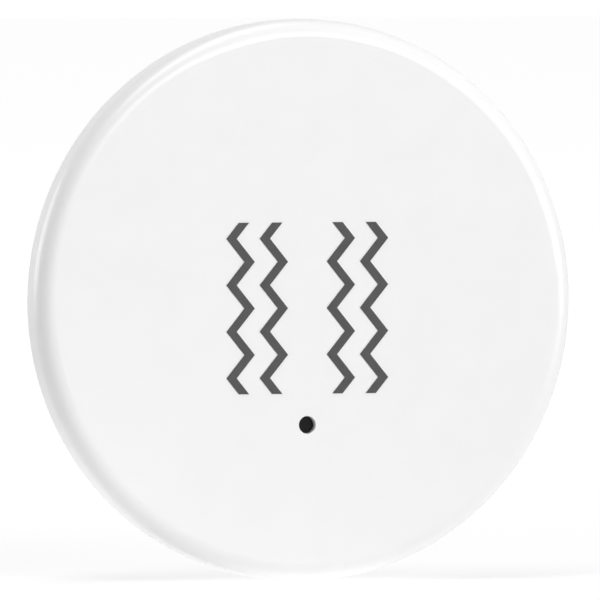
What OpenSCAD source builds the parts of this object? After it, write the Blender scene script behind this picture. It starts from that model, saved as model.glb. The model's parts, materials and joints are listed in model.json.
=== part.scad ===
// Vibration sensor tag: a round stick-on case, a clip-on front cover, a circuit board and a coin cell.
// Each piece is drawn with its back on the wall plane z = 0 and its face towards +z, and is then stood
// upright, so that the face looks along -Y, the top of the tag points along +Z and the wall is y = 0.

/* [Front cover] */
// Outside diameter of the cover
cover_d = 38; // [37:0.5:44]
// Thickness of the cover's face
cover_face_t = 1.4; // [1:0.1:2.5]
// Thickness of the cover's skirt
cover_skirt_t = 0.8; // [0.6:0.1:1.2]
// Height of the cover from its lower edge to its face
cover_h = 2.6; // [2.4:0.1:3.2]
// Rounding between the face and the skirt
cover_edge_r = 1.2; // [0.6:0.1:1.6]

/* [Rear case] */
// Diameter of the case's back
case_back_d = 33.8; // [33:0.2:36]
// Thickness of the case's floor
case_floor_t = 1.5; // [1.2:0.1:2.5]
// Thickness of the case's tapered wall
case_wall_t = 1.4; // [1:0.1:1.8]
// Rounding of the case's back edge
case_edge_r = 0.6; // [0.3:0.1:1]
// How far the case's side stands back from the cover's side at the seam
seam_step = 0.1; // [0:0.05:0.3]
// Open gap between the cover and the case at the seam
seam_gap = 0.15; // [0.05:0.05:0.4]
// Thickness of the tongue that the cover slides over
tongue_t = 0.6; // [0.5:0.1:0.9]
// Width of the notch for a fingernail or a coin
notch_w = 7; // [4:0.5:10]
// Height of the notch
notch_h = 0.8; // [0.5:0.1:1.5]

/* [Snap hooks] */
// Number of hooks on the cover
hook_count = 3; // [2:1:6]
// Width of a hook
hook_w = 4; // [2:0.5:6]
// Thickness of a hook
hook_t = 0.7; // [0.5:0.1:0.9]
// How far the hooks reach below the seam
hook_reach = 2; // [1.6:0.1:2.6]
// Height of a hook's barb
barb_h = 0.8; // [0.5:0.1:1]
// How far a barb catches under the case's wall
barb_engage = 0.3; // [0.2:0.05:0.4]

/* [Gasket] */
// Thickness of the squeezed gasket between the tongue and the cover
gasket_t = 0.5; // [0.3:0.1:0.8]

/* [Adhesive pad] */
// Diameter of the pad
pad_d = 28; // [20:0.5:30]
// Thickness of the pad
pad_t = 0.8; // [0.5:0.1:1.5]
// Depth of the recess that locates the pad
pad_recess = 0.3; // [0.1:0.1:0.4]

/* [Circuit board] */
// Thickness of the board
board_t = 0.8; // [0.6:0.2:1.6]
// Height of the board above the case's floor
board_standoff = 0.8; // [0.5:0.1:1.5]

/* [Board screws] */
// Thread diameter of a screw
screw_d = 1.4; // [1.2:0.1:1.6]
// Diameter of a screw's head
screw_head_d = 2.4; // [2:0.1:2.8]
// Height of a screw's head
screw_head_h = 0.7; // [0.5:0.1:1]
// Length of thread in the case
screw_engage = 1.5; // [1:0.1:1.6]
// Distance of the screws from the board's edge
screw_inset = 1.2; // [1.2:0.1:1.6]
// Direction of the lower screws, below the horizontal
screw_low_angle = 20; // [15:1:28]
// Diameter of a boss
boss_d = 3.2; // [2.6:0.1:3.4]

/* [Coin cell] */
// Diameter of the cell
cell_d = 20; // [18:0.5:20.5]
// Height of the cell
cell_t = 3.2; // [2.5:0.1:5]
// Diameter of the negative cap
cell_cap_d = 17.2; // [15:0.2:17.6]
// Width of the insulating ring
cell_ring_w = 0.6; // [0.3:0.1:0.8]
// Depth of the negative side's step
cell_step = 0.25; // [0.1:0.05:0.4]
// Rounding of the can's edge
cell_edge_r = 0.35; // [0.1:0.05:0.5]

/* [Battery contacts] */
// Sheet thickness of the positive clip
clip_t = 0.25; // [0.15:0.05:0.4]
// Width of the positive clip
clip_w = 6; // [4:0.5:8]
// Length of the clip's solder feet
clip_foot = 1.8; // [1:0.1:2]
// Width of the spring tongues cut in the clip
clip_tongue_w = 1.6; // [1:0.1:2]
// Length of the spring tongues
clip_tongue_l = 4.5; // [3:0.5:6]
// Height of the negative contact under the cell
contact_h = 0.4; // [0.35:0.05:1]
// Sheet thickness of the negative contact
contact_t = 0.15; // [0.1:0.05:0.2]
// Length and width of the negative contact's base
contact_base = [9, 6];

/* [Status lamp] */
// Distance of the window below the middle of the face
window_drop = 8.4; // [7.5:0.1:9]
// Diameter of the window in the face
window_d = 1.2; // [0.6:0.1:1.6]
// Depth of the window below the face
window_recess = 0.5; // [0:0.1:1]
// Diameter of the light pipe's stem
pipe_stem_d = 1.6; // [1:0.1:2]
// Diameter of the light pipe's flange
pipe_flange_d = 2.2; // [2:0.1:2.6]
// Thickness of the flange
pipe_flange_t = 0.6; // [0.4:0.1:1]
// Wall of the collar around the flange
collar_wall = 0.7; // [0.5:0.1:1]
// Height of the collar under the face
collar_h = 1; // [0.8:0.1:1.4]
// Length and width of the lamp
lamp_size = [1.6, 0.8];
// Height of the lamp's base
lamp_base_h = 0.3; // [0.2:0.1:0.5]
// Height of the lamp's lens
lamp_lens_h = 0.3; // [0.2:0.1:0.5]

/* [Printed marks] */
// Height of a full stroke of a zigzag line
mark_rise = 1.57; // [1:0.01:2]
// Height of the shorter stroke at each end of a line
mark_end = 1.08; // [0.6:0.02:2]
// How far a line swings from side to side
mark_swing = 1.28; // [0.6:0.02:1.6]
// Width of a printed line
mark_line = 0.56; // [0.3:0.02:0.8]
// Distance of the inner lines from the middle
mark_inner = 2.38; // [1.5:0.02:4]
// Distance between the two lines of a pair
mark_pitch = 2.36; // [1.8:0.02:3]
// Strokes in a line, the two at its ends included
mark_strokes = 8; // [4:2:14]
// Distance of the marks' middle below the middle of the face
mark_drop = 0.5; // [0:0.1:1]
// Thickness of the print
mark_t = 0.04; // [0.02:0.01:0.1]

/* [Pairing switch] */
// Place of the switch on the board
switch_at = [6.4, -9.6];
// Length and width of the switch
switch_size = [4.2, 3.2];
// Height of the switch's base
switch_h = 1.3; // [1.1:0.1:1.8]
// Thickness of the metal frame on the base
switch_frame_t = 0.2; // [0.1:0.05:0.3]
// Diameter of the plunger
plunger_d = 1.7; // [1.2:0.1:2]
// How far the plunger stands out of the frame
plunger_out = 0.6; // [0.4:0.1:0.8]
// How far the plunger travels
plunger_travel = 0.25; // [0.15:0.05:0.3]

/* [Chips] */
// Place of the radio chip
radio_at = [-6.2, -10];
// Length, width and height of the radio chip
radio_size = [5, 5, 0.85];
// Contacts on each side of the radio chip
radio_leads = 8; // [4:1:12]
// Distance of the accelerometer's middle from the board's edge
accel_inset = 2.3; // [2:0.1:3]
// Direction of the accelerometer from the middle of the board
accel_angle = 217; // [212:1:222]
// Length, width and height of the accelerometer
accel_size = [2, 2, 1];
// Length, width and height of the main crystal
crystal_size = [2, 1.6, 0.5];
// Length, width and height of the clock crystal
clock_size = [3.2, 1.5, 0.8];

/* [Small components] */
// Distance of the antenna's middle from the board's edge
antenna_inset = 1.5; // [1.4:0.1:1.8]
// Length, width and height of the antenna
antenna_size = [3.2, 1.6, 1.1];
// Distance of the bulk capacitor's middle from the board's edge
bulk_inset = 3; // [2.6:0.1:3.4]
// Length, width and height of the bulk capacitor
bulk_size = [3.2, 1.6, 1.6];
// Distance of the inductor's middle from the board's edge
inductor_inset = 3.2; // [2.8:0.1:3.6]
// Distance of the inductor and the bulk capacitor below the middle of the board
power_drop = 1.5; // [1:0.1:1.8]
// Length, width and height of the inductor
inductor_size = [2, 2.4, 1.2];
// Length, width and height of a capacitor or a resistor
passive_size = [1, 0.5, 0.5];
// Length of a component's metal end
terminal_l = 0.22; // [0.1:0.02:0.3]
// Place of the first capacitor
capacitor_row = [-8.2, -6.6];
// Place of the first resistor
resistor_row = [4.9, -6.6];
// Distance between neighbours in a row
passive_pitch = 1.35; // [1:0.05:1.5]
// Capacitors and resistors in a row
passive_count = 4; // [2:1:4]
// Diameter of a test pad
test_pad_d = 1; // [0.6:0.1:1.2]
// Test pads along the board's edge
test_pad_count = 4; // [2:1:4]

/* [Clearances] */
// Running gap between the cover's skirt and the tongue
slide_gap = 0.1; // [0.05:0.01:0.2]
// Gap around the hooks and their pockets
hook_gap = 0.15; // [0.1:0.05:0.3]
// Gap around the adhesive pad in its recess
pad_gap = 0.15; // [0.05:0.05:0.4]
// Gap between the board's edge and the case
board_gap = 0.3; // [0.2:0.05:0.6]
// Gap between the clip and the cover's face
cover_gap = 0.35; // [0.2:0.05:0.8]
// Gap between the cell and what stands beside it
cell_gap = 0.4; // [0.2:0.05:0.6]
// Gap between neighbouring components
part_gap = 0.7; // [0.3:0.1:1]
// Gap between the cell's side and the clip's legs
clip_gap = 0.15; // [0.05:0.05:0.3]
// Gap around the light pipe
pipe_gap = 0.04; // [0.02:0.01:0.1]
// Gap between the lamp and the light pipe
lamp_gap = 0.3; // [0.1:0.05:0.6]
// Gap around a screw's thread
thread_gap = 0.02; // [0.01:0.01:0.05]
// Gap around a screw in the board
screw_hole_gap = 0.1; // [0.05:0.05:0.2]
// Gap around the switch's plunger
plunger_gap = 0.15; // [0.08:0.01:0.2]
// End play of the switch's plunger
plunger_play = 0.05; // [0.02:0.01:0.1]

/* [Hidden] */
$fn = 96;
// Overshoot of a cut past the face it leaves
cut = 1;

// Heights above the wall, from the back to the face
case_back_z = pad_t - pad_recess;
floor_z = case_back_z + case_floor_t;
board_z = floor_z + board_standoff;
board_top = board_z + board_t;
cell_z = board_top + contact_h;
cell_top = cell_z + cell_t;
ceiling_z = cell_top + clip_t + cover_gap;
face_z = ceiling_z + cover_face_t;
seam_z = face_z - cover_h;
case_top_z = seam_z - seam_gap;
tongue_top_z = ceiling_z - gasket_t;

// Radii of the two shells
cover_r = cover_d / 2;
skirt_in_r = cover_r - cover_skirt_t;
tongue_out_r = skirt_in_r - slide_gap;
tongue_in_r = tongue_out_r - tongue_t;
case_back_r = case_back_d / 2;
case_top_r = cover_r - seam_step;
case_taper = atan((case_top_r - case_back_r) / (case_top_z - case_back_z));
cavity_floor_r = case_r(floor_z) - case_wall_t;

// Snap hooks
hook_tip_z = seam_z - hook_reach;
hook_out_r = cavity_r(hook_tip_z) - hook_gap;
hook_in_r = hook_out_r - hook_t;
barb_top_z = hook_tip_z + barb_h;
barb_r = cavity_r(barb_top_z + hook_gap) + barb_engage;
barb_lead = 0.6;
hook_first_angle = 90;

// Board, lamp and cell places
board_r = cavity_r(board_z) - board_gap;
window_at = [0, -window_drop];
collar_r = pipe_flange_d / 2 + pipe_gap + collar_wall;
cell_r = cell_d / 2;
cell_at = [0, cell_r + cell_gap + collar_r - window_drop];
lamp_top = board_top + lamp_base_h + lamp_lens_h;

// Board screws: the upper pair sits as high as the cell lets it
screw_r = board_r - screw_inset;
screw_to_cell = cell_r + screw_head_d / 2 + cell_gap;
screw_high_sine = (screw_r ^ 2 + cell_at.y ^ 2 - screw_to_cell ^ 2) / (2 * screw_r * cell_at.y);
screw_high_limit = 0.78;
screw_high_angle = asin(min(screw_high_sine, screw_high_limit));
screw_angles = [screw_high_angle, 180 - screw_high_angle, 180 + screw_low_angle, 360 - screw_low_angle];
screw_slot = [0.32, 1.5, 0.4];

// Cell's inner step
cell_bay_r = cell_cap_d / 2 + cell_ring_w;
cell_bay_h = 0.9;
plus_sign = [2.4, 0.5, 0.06];
plus_place = 0.62;

// Battery clip
clip_leg_x = cell_r + clip_gap;
clip_slit = 0.4;
contact_tongue = [3.4, 1.4];
contact_land = 1;

// Switch
plunger_lip = 0.3;
plunger_flange_r = plunger_d / 2 + plunger_lip;
plunger_flange_t = 0.3;
switch_dome_h = 0.3;
switch_well_r = plunger_flange_r + plunger_gap;
switch_well_h = plunger_play + plunger_flange_t + plunger_travel + switch_dome_h;
frame_z = board_top + switch_h;
switch_leg = [0.7, 0.8, 0.2];

// Small details of the components
pin_mark_d = 0.5;
pin_mark_deep = 0.06;
pin_mark_inset = 0.6;
lead_size = [0.3, 0.28, 0.22];
lead_pitch = 0.5;
base_step = 0.1;
bulk_stripe = [0.6, 0.04];
bulk_end = 0.3;
test_pad_t = 0.05;
test_pad_inset = 1.4;
test_pad_first = -46;
test_pad_step = 6;

// Places of the components that line up with the board's edge or with a neighbour
antenna_at = [0, antenna_inset - board_r];
antenna_top = antenna_at.y + antenna_size.y / 2;
crystal_x = radio_at.x + radio_size.x / 2 + part_gap + crystal_size.x / 2;
crystal_at = [crystal_x, antenna_top + part_gap + crystal_size.y / 2];
clock_x = crystal_x + crystal_size.x / 2 + part_gap + clock_size.x / 2;
clock_at = [clock_x, antenna_top + part_gap + clock_size.y / 2];
accel_at = polar(board_r - accel_inset, accel_angle);
bulk_at = [board_r - bulk_inset, -power_drop];
inductor_at = [inductor_inset - board_r, -power_drop];

// Radius of the case's outside at a height
function case_r(z) = case_back_r
  + (z - case_back_z) * (case_top_r - case_back_r) / (case_top_z - case_back_z);

// Radius of the case's inside at a height
function cavity_r(z) = cavity_floor_r
  + (z - floor_z) * (tongue_in_r - cavity_floor_r) / (case_top_z - floor_z);

// A point at a radius and a direction
function polar(r, a) = [r * cos(a), r * sin(a)];

// Stands a piece up on the wall plane
module upright() {
  rotate([90, 0, 0]) children();
}

// A ring between two radii and two heights
module ring(r_in, r_out, z_low, z_high) {
  rotate_extrude() translate([r_in, z_low]) square([r_out - r_in, z_high - z_low]);
}

// A cylinder between two heights
module post(r, z_low, z_high) {
  translate([0, 0, z_low]) cylinder(r = r, h = z_high - z_low);
}

// A block that stands on a height, with its middle at a place
module block(at, size, z = board_top) {
  translate([at.x - size.x / 2, at.y - size.y / 2, z]) cube(size);
}

// Repeats a shape at each board screw
module at_screws() {
  for (a = screw_angles) translate(polar(screw_r, a)) rotate(a) children();
}

// Repeats a shape at each snap hook, pointing out along x
module at_hooks() {
  for (i = [0 : hook_count - 1]) rotate(hook_first_angle + i * 360 / hook_count) children();
}

// A round dimple that marks a chip's first contact
module pin_mark(at, size) {
  corner = [at.x - size.x / 2 + pin_mark_inset, at.y + size.y / 2 - pin_mark_inset];
  translate([corner.x, corner.y, board_top + size.z - pin_mark_deep])
    cylinder(d = pin_mark_d, h = cut);
}

// A chip with its dimple
module chip(at, size) {
  difference() {
    block(at, size);
    pin_mark(at, size);
  }
}

// A lidded crystal: a low base with a slightly smaller lid
module crystal(at, size) {
  block(at, [size.x, size.y, size.z / 2]);
  block(at, [size.x - 2 * base_step, size.y - 2 * base_step, size.z]);
}

module adhesive_pad() {
  color("gainsboro") upright() post(pad_d / 2, 0, pad_t);
}

// Outline of the case from its axis out, with the back edge rounded
module case_outline() {
  tangent = case_edge_r / tan(45 + case_taper / 2);
  side = [case_back_r + tangent * sin(case_taper), case_back_z + tangent * cos(case_taper)];
  polygon([
    [0, case_back_z], [case_back_r - tangent, case_back_z], side,
    [case_top_r, case_top_z], [0, case_top_z]
  ]);
  translate([case_back_r - tangent, case_back_z + case_edge_r]) circle(r = case_edge_r);
}

module case_cavity() {
  polygon([
    [0, floor_z], [cavity_floor_r, floor_z], [tongue_in_r, case_top_z],
    [tongue_in_r, tongue_top_z + cut], [0, tongue_top_z + cut]
  ]);
}

module rear_case() {
  color("whitesmoke") upright() difference() {
    union() {
      difference() {
        union() {
          rotate_extrude() case_outline();
          post(tongue_out_r, case_top_z - tongue_t, tongue_top_z);
        }
        rotate_extrude() case_cavity();
      }
      at_screws() post(boss_d / 2, floor_z - case_floor_t / 2, board_z);
    }
    post(pad_d / 2 + pad_gap, case_back_z - cut, pad_t);
    at_screws() post(screw_d / 2 + thread_gap, board_z - screw_engage - screw_hole_gap, board_z + cut);
    intersection() {
      post(barb_r + hook_gap, hook_tip_z - hook_gap, barb_top_z + hook_gap);
      at_hooks() block([cover_r / 2, 0], [cover_r, hook_w + 2 * hook_gap, cover_h], hook_tip_z - hook_gap);
    }
    difference() {
      block([0, -cover_r], [notch_w, cover_r, notch_h + cut], case_top_z - notch_h);
      post(tongue_out_r, case_back_z, face_z);
    }
  }
}

module circuit_board() {
  color("darkgreen") upright() difference() {
    post(board_r, board_z, board_top);
    at_screws() post(screw_d / 2 + screw_hole_gap, board_z - cut, board_top + cut);
  }
}

module board_screws() {
  color("silver") upright() at_screws() difference() {
    union() {
      post(screw_d / 2, board_z - screw_engage, board_top + screw_head_h / 2);
      post(screw_head_d / 2, board_top, board_top + screw_head_h);
    }
    for (a = [0, 90]) rotate(a)
      block([0, 0], [screw_slot.x, screw_slot.y, cut], board_top + screw_head_h - screw_slot.z);
  }
}

// Outline of the cell's can, with its top edge rounded
module can_outline() {
  square([cell_r - cell_edge_r, cell_t - cell_step]);
  square([cell_r, cell_t - cell_step - cell_edge_r]);
  translate([cell_r - cell_edge_r, cell_t - cell_step - cell_edge_r]) circle(r = cell_edge_r);
}

module cell_can() {
  color("silver") upright() translate([cell_at.x, cell_at.y, 0]) difference() {
    translate([0, 0, cell_z + cell_step]) rotate_extrude() can_outline();
    post(cell_bay_r, cell_z, cell_z + cell_bay_h);
    translate([0, -cell_r * plus_place, cell_top - plus_sign.z]) for (a = [0, 90]) rotate(a)
      translate([-plus_sign.x / 2, -plus_sign.y / 2, 0]) cube([plus_sign.x, plus_sign.y, cut]);
  }
}

module cell_cap() {
  color("lightgray") upright() translate([cell_at.x, cell_at.y, 0])
    post(cell_cap_d / 2, cell_z, cell_z + cell_bay_h);
}

module cell_ring() {
  color("dimgray") upright() translate([cell_at.x, cell_at.y, 0])
    ring(cell_cap_d / 2, cell_bay_r, cell_z + cell_step / 2, cell_z + cell_bay_h);
}

module positive_clip() {
  leg_h = cell_top - board_top + clip_t;
  color("lightsteelblue") upright() translate([cell_at.x, cell_at.y, 0]) {
    difference() {
      block([0, 0], [2 * (clip_leg_x + clip_t), clip_w, clip_t], cell_top);
      for (s = [-1, 1], t = [-1, 1])
        translate([s * clip_tongue_l / 2, t * (clip_tongue_w + clip_slit) / 2, 0])
          block([s * clip_slit, 0], [clip_tongue_l, clip_slit, cut], cell_top - clip_t);
      for (s = [-1, 1])
        block([s * clip_slit, 0], [clip_slit, clip_tongue_w + 2 * clip_slit, cut], cell_top - clip_t);
    }
    for (s = [-1, 1]) {
      block([s * (clip_leg_x + clip_t / 2), 0], [clip_t, clip_w, leg_h]);
      block([s * (clip_leg_x + clip_foot / 2), 0], [clip_foot, clip_w, clip_t]);
    }
  }
}

// Side view of a spring tongue that rises from the contact's base to the cell
module tongue_outline() {
  rise = contact_h - contact_t;
  ramp = contact_tongue.x - contact_land;
  polygon([
    [0, 0], [ramp, rise], [contact_tongue.x, rise], [contact_tongue.x, rise + contact_t],
    [ramp, rise + contact_t], [0, contact_t]
  ]);
}

module negative_contact() {
  color("gold") upright() translate([cell_at.x, cell_at.y, 0]) {
    difference() {
      block([0, 0], [contact_base.x, contact_base.y, contact_t]);
      for (s = [-1, 1])
        block([s * contact_tongue.x / 2, s * contact_base.y / 4],
          [contact_tongue.x, contact_tongue.y + 2 * clip_slit, cut], board_top - contact_t);
    }
    for (s = [0, 180]) rotate(s)
      translate([0, contact_base.y / 4 + contact_tongue.y / 2, board_top]) rotate([90, 0, 0])
        linear_extrude(contact_tongue.y) tongue_outline();
  }
}

module radio_chip() {
  color("dimgray") upright() chip(radio_at, radio_size);
}

module radio_leads() {
  first = -(radio_leads - 1) * lead_pitch / 2;
  color("silver") upright() translate([radio_at.x, radio_at.y, 0])
    for (side = [0 : 3], i = [0 : radio_leads - 1]) rotate(side * 90)
      block([(radio_size.x + lead_size.x) / 2, first + i * lead_pitch], lead_size);
}

module accelerometer() {
  color("dimgray") upright() chip(accel_at, accel_size);
}

module main_crystal() {
  color("silver") upright() crystal(crystal_at, crystal_size);
}

module clock_crystal() {
  color("silver") upright() crystal(clock_at, clock_size);
}

module lamp_base() {
  color("ivory") upright() block(window_at, [lamp_size.x, lamp_size.y, lamp_base_h]);
}

module lamp_lens() {
  lens = [lamp_size.x - 4 * base_step, lamp_size.y, lamp_lens_h];
  color("palegreen") upright() block(window_at, lens, board_top + lamp_base_h);
}

module chip_antenna() {
  body = [antenna_size.x - 2 * terminal_l, antenna_size.y, antenna_size.z];
  color("white") upright() block(antenna_at, body);
}

// Repeats a shape at each place of a row, turned across the row
module in_row(first) {
  for (i = [0 : passive_count - 1]) translate([first.x + i * passive_pitch, first.y, 0]) rotate(90)
    children();
}

module passive_body() {
  block([0, 0], [passive_size.x - 2 * terminal_l, passive_size.y, passive_size.z]);
}

// The two metal ends of a component
module ends(size) {
  for (s = [-1, 1])
    block([s * (size.x - terminal_l) / 2, 0], [terminal_l, size.y, size.z]);
}

module capacitors() {
  color("tan") upright() in_row(capacitor_row) passive_body();
}

module resistors() {
  color("black") upright() in_row(resistor_row) passive_body();
}

module component_ends() {
  color("silver") upright() {
    in_row(capacitor_row) ends(passive_size);
    in_row(resistor_row) ends(passive_size);
    translate([antenna_at.x, antenna_at.y, 0]) ends(antenna_size);
  }
}

module bulk_capacitor() {
  color("goldenrod") upright() translate([bulk_at.x, bulk_at.y, 0]) rotate(90) difference() {
    block([0, 0], bulk_size);
    block([bulk_end - bulk_size.x / 2 + bulk_stripe.x / 2, 0],
      [bulk_stripe.x, bulk_size.y + cut, cut], board_top + bulk_size.z - bulk_stripe.y);
  }
}

module inductor() {
  color("darkslategray") upright() {
    block(inductor_at, [inductor_size.x, inductor_size.y, inductor_size.z / 2]);
    block(inductor_at, [inductor_size.x - 2 * base_step, inductor_size.y - 2 * base_step, inductor_size.z]);
  }
}

module switch_base() {
  color("black") upright() translate([switch_at.x, switch_at.y, 0]) {
    difference() {
      block([0, 0], [switch_size.x, switch_size.y, switch_h]);
      post(switch_well_r, frame_z - switch_well_h, frame_z + cut);
    }
  }
}

module switch_frame() {
  color("silver") upright() translate([switch_at.x, switch_at.y, 0]) {
    difference() {
      block([0, 0], [switch_size.x, switch_size.y, switch_frame_t], frame_z);
      post(plunger_d / 2 + plunger_gap, frame_z - cut, frame_z + cut);
    }
    for (s = [-1, 1], t = [-1, 1])
      block([s * (switch_size.x + switch_leg.x) / 2, t * (switch_size.y - switch_leg.y) / 2], switch_leg);
  }
}

module switch_plunger() {
  flange_top = frame_z - plunger_play;
  color("whitesmoke") upright() translate([switch_at.x, switch_at.y, 0]) {
    post(plunger_flange_r, flange_top - plunger_flange_t, flange_top);
    post(plunger_d / 2, flange_top - plunger_flange_t, frame_z + switch_frame_t + plunger_out);
  }
}

module test_pads() {
  color("gold") upright() for (i = [0 : test_pad_count - 1])
    translate(polar(board_r - test_pad_inset, test_pad_first + i * test_pad_step))
      post(test_pad_d / 2, board_top, board_top + test_pad_t);
}

// Outline of the cover from its axis out, with the face's edge rounded
module cover_outline() {
  translate([0, seam_z]) {
    square([cover_r - cover_edge_r, cover_h]);
    square([cover_r, cover_h - cover_edge_r]);
    translate([cover_r - cover_edge_r, cover_h - cover_edge_r]) circle(r = cover_edge_r);
  }
}

// Outline of a hook: a straight arm with a barb at its tip
module hook_outline() {
  polygon([
    [hook_in_r, ceiling_z + cover_face_t / 2], [hook_in_r, hook_tip_z], [hook_out_r, hook_tip_z],
    [barb_r, hook_tip_z + barb_lead * barb_h], [barb_r, barb_top_z], [hook_out_r, barb_top_z],
    [hook_out_r, ceiling_z + cover_face_t / 2]
  ]);
}

module front_cover() {
  color("white") upright() difference() {
    union() {
      difference() {
        rotate_extrude() cover_outline();
        post(skirt_in_r, seam_z - cut, ceiling_z);
      }
      intersection() {
        rotate_extrude() hook_outline();
        at_hooks() block([cover_r / 2, 0], [cover_r, hook_w, face_z], 0);
      }
      translate(window_at) post(collar_r, ceiling_z - collar_h, ceiling_z + cover_face_t / 2);
    }
    translate(window_at) {
      post(window_d / 2, ceiling_z - cut, face_z + cut);
      post(pipe_flange_d / 2 + pipe_gap, ceiling_z - collar_h - cut, ceiling_z);
    }
  }
}

module cover_gasket() {
  color("lightgray") upright() ring(tongue_in_r, tongue_out_r, tongue_top_z, ceiling_z);
}

module light_pipe() {
  color("black") upright() translate(window_at) {
    post(pipe_stem_d / 2, lamp_top + lamp_gap, ceiling_z - pipe_flange_t / 2);
    post(pipe_flange_d / 2, ceiling_z - pipe_flange_t, ceiling_z);
    post(window_d / 2 - pipe_gap, ceiling_z - pipe_flange_t / 2, face_z - window_recess);
  }
}

// Outline of one zigzag line: its middle line moved to each side, with level ends
module zigzag() {
  half = mark_line / 2 / cos(atan(mark_swing / mark_rise));
  turns = [
    for (i = [1 : mark_strokes - 1])
      [(i % 2 == 0 ? 1 : -1) * mark_swing / 2, (mark_strokes / 2 - i) * mark_rise]
  ];
  tip = turns[0] + mark_end * [mark_swing / mark_rise, 1];
  middle = concat([tip], turns, [[tip.x, -tip.y]]);
  right = [for (p = middle) p + [half, 0]];
  left = [for (i = [mark_strokes : -1 : 0]) middle[i] - [half, 0]];
  polygon(concat(right, left));
}

module vibration_marks() {
  color("dimgray") upright() translate([0, -mark_drop, face_z]) linear_extrude(mark_t)
    for (s = [0, 1], x = [mark_inner, mark_inner + mark_pitch]) mirror([s, 0])
      translate([-x, 0]) zigzag();
}

adhesive_pad();
rear_case();
circuit_board();
board_screws();
cell_can();
cell_cap();
cell_ring();
positive_clip();
negative_contact();
radio_chip();
radio_leads();
accelerometer();
main_crystal();
clock_crystal();
lamp_base();
lamp_lens();
chip_antenna();
capacitors();
resistors();
component_ends();
bulk_capacitor();
inductor();
switch_base();
switch_frame();
switch_plunger();
test_pads();
front_cover();
cover_gasket();
light_pipe();
vibration_marks();
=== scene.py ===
import json
import math
from collections import namedtuple

import bmesh
import bpy
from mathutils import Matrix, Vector


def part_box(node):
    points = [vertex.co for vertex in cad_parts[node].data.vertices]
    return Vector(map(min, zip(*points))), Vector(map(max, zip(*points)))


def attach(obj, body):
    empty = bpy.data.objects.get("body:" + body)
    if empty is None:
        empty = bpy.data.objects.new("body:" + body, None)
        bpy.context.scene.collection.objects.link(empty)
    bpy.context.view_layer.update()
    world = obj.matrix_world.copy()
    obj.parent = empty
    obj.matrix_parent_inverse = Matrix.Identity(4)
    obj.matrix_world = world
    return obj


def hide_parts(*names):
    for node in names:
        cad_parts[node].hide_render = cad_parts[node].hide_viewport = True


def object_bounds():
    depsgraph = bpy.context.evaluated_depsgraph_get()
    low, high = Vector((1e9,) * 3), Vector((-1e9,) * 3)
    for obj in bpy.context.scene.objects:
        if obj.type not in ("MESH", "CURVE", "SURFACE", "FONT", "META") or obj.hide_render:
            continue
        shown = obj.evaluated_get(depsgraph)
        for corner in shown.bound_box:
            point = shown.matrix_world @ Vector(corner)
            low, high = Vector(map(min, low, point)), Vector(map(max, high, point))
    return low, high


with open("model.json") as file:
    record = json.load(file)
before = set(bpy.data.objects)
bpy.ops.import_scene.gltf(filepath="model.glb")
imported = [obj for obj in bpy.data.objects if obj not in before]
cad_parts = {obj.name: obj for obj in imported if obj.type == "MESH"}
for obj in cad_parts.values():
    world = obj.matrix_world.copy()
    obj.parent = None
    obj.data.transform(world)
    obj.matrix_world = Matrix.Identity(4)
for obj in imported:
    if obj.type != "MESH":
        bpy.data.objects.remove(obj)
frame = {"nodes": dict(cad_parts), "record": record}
cad_low, cad_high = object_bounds()
nodes = frame["nodes"]
scene = bpy.context.scene

# The tag's lengths are in millimetres, which MM turns into metres, and the stage's are in metres
MM = 0.001
WELD = 0.0001

Box = namedtuple("Box", "x0 y0 h0 x1 y1 h1")


def point(x, y, height):
    """A place on the tag, x right, y up and height above the wall, in the row frame."""
    return Vector((x * MM, -height * MM, y * MM))


def polar(radius, degrees):
    """A place on the tag's plane at a radius and a direction."""
    angle = math.radians(degrees)
    return radius * math.cos(angle), radius * math.sin(angle)


# Places read from the frame
def tag_box(low, high):
    """Two corners in the row frame as a box of places and heights."""
    return Box(low.x / MM, low.z / MM, -high.y / MM, high.x / MM, high.z / MM, -low.y / MM)


def node_box(name):
    return tag_box(*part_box(name))


def solids(name):
    """The box of each separate solid of a node, from left to right."""
    welded = bmesh.new()
    welded.from_mesh(nodes[name].data)
    bmesh.ops.remove_doubles(welded, verts=welded.verts, dist=WELD * MM)
    boxes = []
    left = set(welded.verts)
    while left:
        waiting = [left.pop()]
        corners = []
        while waiting:
            vert = waiting.pop()
            corners.append(tuple(vert.co))
            linked = {edge.other_vert(vert) for edge in vert.link_edges} & left
            left -= linked
            waiting.extend(linked)
        boxes.append(tag_box(Vector(map(min, zip(*corners))), Vector(map(max, zip(*corners)))))
    welded.free()
    return sorted(boxes)


def middle(box):
    return (box.x0 + box.x1) / 2, (box.y0 + box.y1) / 2


def side(box, name, along=0.0):
    """The middle of a box's side, or a place that far along it."""
    x, y = middle(box)
    places = {
        "left": (box.x0, y + along),
        "right": (box.x1, y + along),
        "top": (x + along, box.y1),
        "bottom": (x + along, box.y0),
    }
    return places[name]


def side_length(box, name):
    return box.y1 - box.y0 if name in ("left", "right") else box.x1 - box.x0


def beyond(place, across=0.0, up=0.0):
    return place[0] + across, place[1] + up


board = node_box("circuit_board")
cell = node_box("cell_can")
BOARD_TOP = board.h1
BOARD_R = board.x1
CELL_R = (cell.x1 - cell.x0) / 2
CELL_AT = middle(cell)


# Materials
def link(tree, source, target):
    tree.links.new(source, target)


def add_node(tree, kind, **values):
    """A shader node, with its properties or its inputs set by name."""
    made = tree.nodes.new(kind)
    for key, value in values.items():
        if key in made.inputs:
            made.inputs[key].default_value = value
        else:
            setattr(made, key, value)
    return made


def shade(colour, factor):
    """A colour made darker or lighter, as a shader's four numbers."""
    return tuple(min(1.0, c * factor) for c in colour) + (1.0,)


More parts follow.
